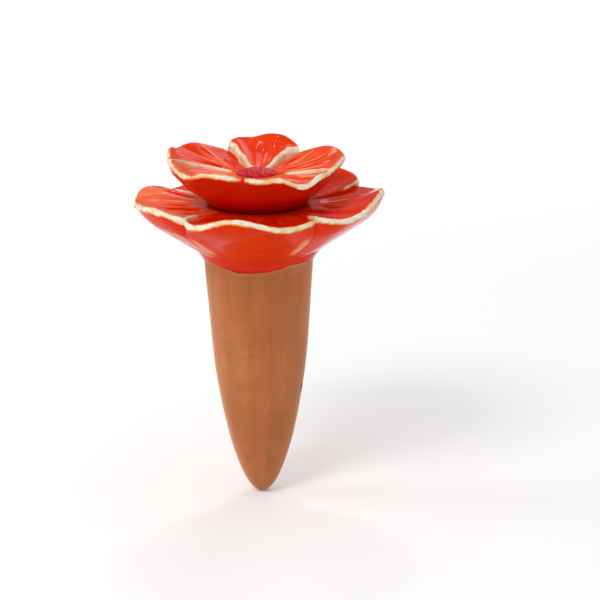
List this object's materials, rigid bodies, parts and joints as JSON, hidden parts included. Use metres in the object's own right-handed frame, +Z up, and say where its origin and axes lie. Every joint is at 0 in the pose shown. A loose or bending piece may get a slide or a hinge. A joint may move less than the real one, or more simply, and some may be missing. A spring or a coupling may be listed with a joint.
{
  "type": "self watering spike",
  "caption": "Hollow terracotta watering spike with a glazed flower as its filling bowl and a lift-out stopper shaped as a smaller flower.",
  "frame": {"origin": "on the axis at the neck of the spike, which is the soil line", "axes": "+Z up along the spike's axis, -Y towards the front of the flower"},
  "size_m": [0.1006, 0.0995, 0.1445],
  "materials": {
    "terracotta": "unglazed, matt and porous",
    "red_glaze": "glossy red glaze that breaks to cream on the rims",
    "crimson_glaze": "glossy crimson glaze"
  },
  "bodies": {
    "spike": {"spike_shell": "terracotta", "flower_cup": "red_glaze", "throat_ring": "red_glaze", "bowl_petal_front": "red_glaze", "bowl_petal_right": "red_glaze", "bowl_petal_back_right": "red_glaze", "bowl_petal_back_left": "red_glaze", "bowl_petal_left": "red_glaze"},
    "stopper": {"stopper_plug": "terracotta", "stopper_cup": "red_glaze", "pollen_disc": "crimson_glaze", "stopper_petal_back": "red_glaze", "stopper_petal_right": "red_glaze", "stopper_petal_front_right": "red_glaze", "stopper_petal_front_left": "red_glaze", "stopper_petal_left": "red_glaze"}
  },
  "joints": [
    {"name": "stopper_lift", "type": "slide", "parent": "spike", "child": "stopper", "axis": [0, 0, 1], "range_m": [0, 0.06]}
  ]
}
